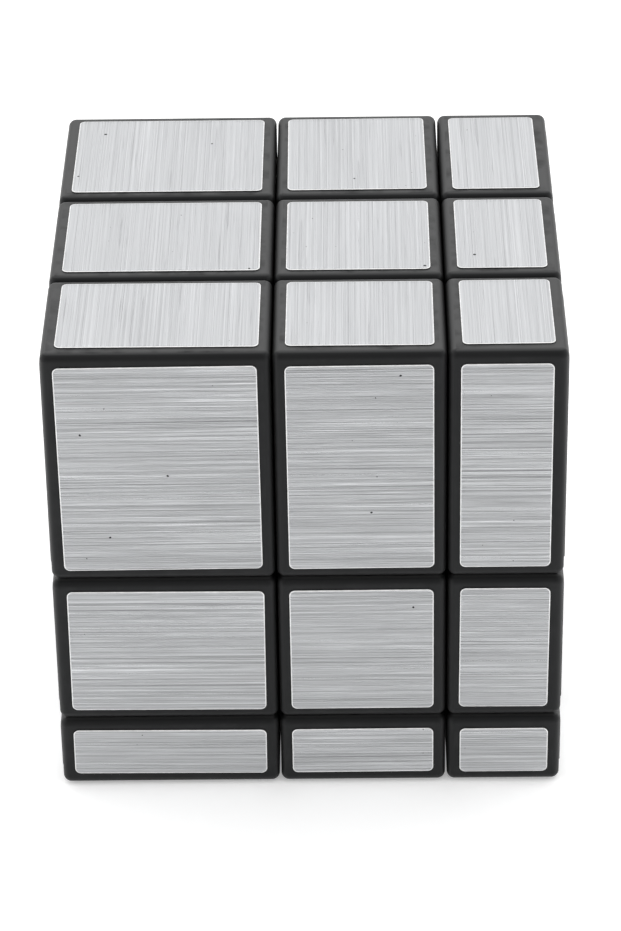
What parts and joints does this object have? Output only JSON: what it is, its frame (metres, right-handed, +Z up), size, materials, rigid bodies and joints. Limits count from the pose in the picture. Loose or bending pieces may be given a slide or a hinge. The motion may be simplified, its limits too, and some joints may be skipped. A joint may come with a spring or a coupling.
{
  "type": "twisty puzzle cube",
  "caption": "Free-standing twisty puzzle cube of black blocks with brushed silver stickers, whose layers all differ in thickness; every face turns about an inner core.",
  "frame": {"origin": "middle of the square footprint, on the surface that the cube rests on", "axes": "+Z up, -Y is the front, +X is the right; the thinnest layer is at the bottom and the widest column is on the left"},
  "size_m": [0.0574, 0.0574, 0.0573],
  "materials": {
    "black_plastic": "moulded black plastic, satin, with rounded edges",
    "silver_foil": "thin foil sticker, finely brushed in one direction",
    "core_plastic": "plain moulded plastic, out of sight",
    "steel": "zinc-plated screws, washers and coil springs"
  },
  "bodies": {
    "core": {"core_spider": "core_plastic", "tension_screws_and_springs": "steel"},
    "left_centre": {"left_centre_base": "black_plastic"},
    "right_centre": {"right_centre_base": "black_plastic"},
    "front_centre": {"front_centre_base": "black_plastic"},
    "back_centre": {"back_centre_base": "black_plastic"},
    "top_centre": {"top_centre_base": "black_plastic"},
    "bottom_centre": {"bottom_centre_base": "black_plastic", "bottom_centre_plug": "black_plastic", "bottom_centre_sticker": "silver_foil"},
    "top_front_edge": {"top_front_edge": "black_plastic", "top_front_edge_stickers": "silver_foil"},
    "top_back_edge": {"top_back_edge": "black_plastic", "top_back_edge_stickers": "silver_foil"},
    "top_left_edge": {"top_left_edge": "black_plastic", "top_left_edge_stickers": "silver_foil"},
    "top_right_edge": {"top_right_edge": "black_plastic", "top_right_edge_stickers": "silver_foil"},
    "bottom_front_edge": {"bottom_front_edge": "black_plastic", "bottom_front_edge_stickers": "silver_foil"},
    "bottom_back_edge": {"bottom_back_edge": "black_plastic", "bottom_back_edge_stickers": "silver_foil"},
    "bottom_left_edge": {"bottom_left_edge": "black_plastic", "bottom_left_edge_stickers": "silver_foil"},
    "bottom_right_edge": {"bottom_right_edge": "black_plastic", "bottom_right_edge_stickers": "silver_foil"},
    "front_left_edge": {"front_left_edge": "black_plastic", "front_left_edge_stickers": "silver_foil"},
    "front_right_edge": {"front_right_edge": "black_plastic", "front_right_edge_stickers": "silver_foil"},
    "back_left_edge": {"back_left_edge": "black_plastic", "back_left_edge_stickers": "silver_foil"},
    "back_right_edge": {"back_right_edge": "black_plastic", "back_right_edge_stickers": "silver_foil"},
    "top_front_left_corner": {"top_front_left_corner": "black_plastic", "top_front_left_corner_stickers": "silver_foil"},
    "top_front_right_corner": {"top_front_right_corner": "black_plastic", "top_front_right_corner_stickers": "silver_foil"},
    "top_back_left_corner": {"top_back_left_corner": "black_plastic", "top_back_left_corner_stickers": "silver_foil"},
    "top_back_right_corner": {"top_back_right_corner": "black_plastic", "top_back_right_corner_stickers": "silver_foil"},
    "bottom_front_left_corner": {"bottom_front_left_corner": "black_plastic", "bottom_front_left_corner_stickers": "silver_foil"},
    "bottom_front_right_corner": {"bottom_front_right_corner": "black_plastic", "bottom_front_right_corner_stickers": "silver_foil"},
    "bottom_back_left_corner": {"bottom_back_left_corner": "black_plastic", "bottom_back_left_corner_stickers": "silver_foil"},
    "bottom_back_right_corner": {"bottom_back_right_corner": "black_plastic", "bottom_back_right_corner_stickers": "silver_foil"},
    "left_cap": {"left_centre_cap": "black_plastic", "left_centre_sticker": "silver_foil"},
    "right_cap": {"right_centre_cap": "black_plastic", "right_centre_sticker": "silver_foil"},
    "front_cap": {"front_centre_cap": "black_plastic", "front_centre_sticker": "silver_foil"},
    "back_cap": {"back_centre_cap": "black_plastic", "back_centre_sticker": "silver_foil"},
    "top_cap": {"top_centre_cap": "black_plastic", "top_centre_sticker": "silver_foil"}
  },
  "joints": [
    {"name": "face_left_turn", "type": "hinge", "parent": "core", "child": "left_centre", "pos_m": [0.006, -0.002, 0.01865], "axis": [-1, 0, 0], "continuous": true},
    {"name": "face_right_turn", "type": "hinge", "parent": "core", "child": "right_centre", "pos_m": [0.006, -0.002, 0.01865], "axis": [1, 0, 0], "continuous": true},
    {"name": "face_front_turn", "type": "hinge", "parent": "core", "child": "front_centre", "pos_m": [0.006, -0.002, 0.01865], "axis": [0, -1, 0], "continuous": true},
    {"name": "face_back_turn", "type": "hinge", "parent": "core", "child": "back_centre", "pos_m": [0.006, -0.002, 0.01865], "axis": [0, 1, 0], "continuous": true},
    {"name": "face_top_turn", "type": "hinge", "parent": "core", "child": "top_centre", "pos_m": [0.006, -0.002, 0.01865], "axis": [0, 0, 1], "continuous": true},
    {"name": "face_bottom_turn", "type": "hinge", "parent": "core", "child": "bottom_centre", "pos_m": [0.006, -0.002, 0.01865], "axis": [0, 0, -1], "continuous": true},
    {"name": "top_front_edge_with_front", "type": "hinge", "parent": "top_centre", "child": "top_front_edge", "pos_m": [0.006, -0.002, 0.01865], "axis": [0, -1, 0], "continuous": true},
    {"name": "top_back_edge_with_back", "type": "hinge", "parent": "top_centre", "child": "top_back_edge", "pos_m": [0.006, -0.002, 0.01865], "axis": [0, 1, 0], "continuous": true},
    {"name": "top_left_edge_with_left", "type": "hinge", "parent": "top_centre", "child": "top_left_edge", "pos_m": [0.006, -0.002, 0.01865], "axis": [-1, 0, 0], "continuous": true},
    {"name": "top_right_edge_with_right", "type": "hinge", "parent": "top_centre", "child": "top_right_edge", "pos_m": [0.006, -0.002, 0.01865], "axis": [1, 0, 0], "continuous": true},
    {"name": "bottom_front_edge_with_bottom", "type": "hinge", "parent": "front_centre", "child": "bottom_front_edge", "pos_m": [0.006, -0.002, 0.01865], "axis": [0, 0, -1], "continuous": true},
    {"name": "bottom_back_edge_with_bottom", "type": "hinge", "parent": "back_centre", "child": "bottom_back_edge", "pos_m": [0.006, -0.002, 0.01865], "axis": [0, 0, -1], "continuous": true},
    {"name": "bottom_left_edge_with_bottom", "type": "hinge", "parent": "left_centre", "child": "bottom_left_edge", "pos_m": [0.006, -0.002, 0.01865], "axis": [0, 0, -1], "continuous": true},
    {"name": "bottom_right_edge_with_bottom", "type": "hinge", "parent": "right_centre", "child": "bottom_right_edge", "pos_m": [0.006, -0.002, 0.01865], "axis": [0, 0, -1], "continuous": true},
    {"name": "front_left_edge_with_front", "type": "hinge", "parent": "left_centre", "child": "front_left_edge", "pos_m": [0.006, -0.002, 0.01865], "axis": [0, -1, 0], "continuous": true},
    {"name": "front_right_edge_with_right", "type": "hinge", "parent": "front_centre", "child": "front_right_edge", "pos_m": [0.006, -0.002, 0.01865], "axis": [1, 0, 0], "continuous": true},
    {"name": "back_left_edge_with_left", "type": "hinge", "parent": "back_centre", "child": "back_left_edge", "pos_m": [0.006, -0.002, 0.01865], "axis": [-1, 0, 0], "continuous": true},
    {"name": "back_right_edge_with_back", "type": "hinge", "parent": "right_centre", "child": "back_right_edge", "pos_m": [0.006, -0.002, 0.01865], "axis": [0, 1, 0], "continuous": true},
    {"name": "top_front_left_corner_with_left", "type": "hinge", "parent": "top_front_edge", "child": "top_front_left_corner", "pos_m": [0.006, -0.002, 0.01865], "axis": [-1, 0, 0], "continuous": true},
    {"name": "top_front_right_corner_with_right", "type": "hinge", "parent": "top_front_edge", "child": "top_front_right_corner", "pos_m": [0.006, -0.002, 0.01865], "axis": [1, 0, 0], "continuous": true},
    {"name": "top_back_left_corner_with_left", "type": "hinge", "parent": "top_back_edge", "child": "top_back_left_corner", "pos_m": [0.006, -0.002, 0.01865], "axis": [-1, 0, 0], "continuous": true},
    {"name": "top_back_right_corner_with_right", "type": "hinge", "parent": "top_back_edge", "child": "top_back_right_corner", "pos_m": [0.006, -0.002, 0.01865], "axis": [1, 0, 0], "continuous": true},
    {"name": "bottom_front_left_corner_with_left", "type": "hinge", "parent": "bottom_front_edge", "child": "bottom_front_left_corner", "pos_m": [0.006, -0.002, 0.01865], "axis": [-1, 0, 0], "continuous": true},
    {"name": "bottom_front_right_corner_with_right", "type": "hinge", "parent": "bottom_front_edge", "child": "bottom_front_right_corner", "pos_m": [0.006, -0.002, 0.01865], "axis": [1, 0, 0], "continuous": true},
    {"name": "bottom_back_left_corner_with_left", "type": "hinge", "parent": "bottom_back_edge", "child": "bottom_back_left_corner", "pos_m": [0.006, -0.002, 0.01865], "axis": [-1, 0, 0], "continuous": true},
    {"name": "bottom_back_right_corner_with_right", "type": "hinge", "parent": "bottom_back_edge", "child": "bottom_back_right_corner", "pos_m": [0.006, -0.002, 0.01865], "axis": [1, 0, 0], "continuous": true},
    {"name": "pull_left_cap", "type": "slide", "parent": "left_centre", "child": "left_cap", "axis": [-1, 0, 0], "range_m": [0, 0.0175]},
    {"name": "pull_right_cap", "type": "slide", "parent": "right_centre", "child": "right_cap", "axis": [1, 0, 0], "range_m": [0, 0.0055]},
    {"name": "pull_front_cap", "type": "slide", "parent": "front_centre", "child": "front_cap", "axis": [0, -1, 0], "range_m": [0, 0.0095]},
    {"name": "pull_back_cap", "type": "slide", "parent": "back_centre", "child": "back_cap", "axis": [0, 1, 0], "range_m": [0, 0.0135]},
    {"name": "pull_top_cap", "type": "slide", "parent": "top_centre", "child": "top_cap", "axis": [0, 0, 1], "range_m": [0, 0.0215]}
  ],
  "couplings": [
    {"joint": "top_front_edge_with_front", "follows": "face_front_turn", "ratio": 1},
    {"joint": "top_back_edge_with_back", "follows": "face_back_turn", "ratio": 1},
    {"joint": "top_left_edge_with_left", "follows": "face_left_turn", "ratio": 1},
    {"joint": "top_right_edge_with_right", "follows": "face_right_turn", "ratio": 1},
    {"joint": "bottom_front_edge_with_bottom", "follows": "face_bottom_turn", "ratio": 1},
    {"joint": "bottom_back_edge_with_bottom", "follows": "face_bottom_turn", "ratio": 1},
    {"joint": "bottom_left_edge_with_bottom", "follows": "face_bottom_turn", "ratio": 1},
    {"joint": "bottom_right_edge_with_bottom", "follows": "face_bottom_turn", "ratio": 1},
    {"joint": "front_left_edge_with_front", "follows": "face_front_turn", "ratio": 1},
    {"joint": "front_right_edge_with_right", "follows": "face_right_turn", "ratio": 1},
    {"joint": "back_left_edge_with_left", "follows": "face_left_turn", "ratio": 1},
    {"joint": "back_right_edge_with_back", "follows": "face_back_turn", "ratio": 1},
    {"joint": "top_front_left_corner_with_left", "follows": "face_left_turn", "ratio": 1},
    {"joint": "top_front_right_corner_with_right", "follows": "face_right_turn", "ratio": 1},
    {"joint": "top_back_left_corner_with_left", "follows": "face_left_turn", "ratio": 1},
    {"joint": "top_back_right_corner_with_right", "follows": "face_right_turn", "ratio": 1},
    {"joint": "bottom_front_left_corner_with_left", "follows": "face_left_turn", "ratio": 1},
    {"joint": "bottom_front_right_corner_with_right", "follows": "face_right_turn", "ratio": 1},
    {"joint": "bottom_back_left_corner_with_left", "follows": "face_left_turn", "ratio": 1},
    {"joint": "bottom_back_right_corner_with_right", "follows": "face_right_turn", "ratio": 1}
  ]
}
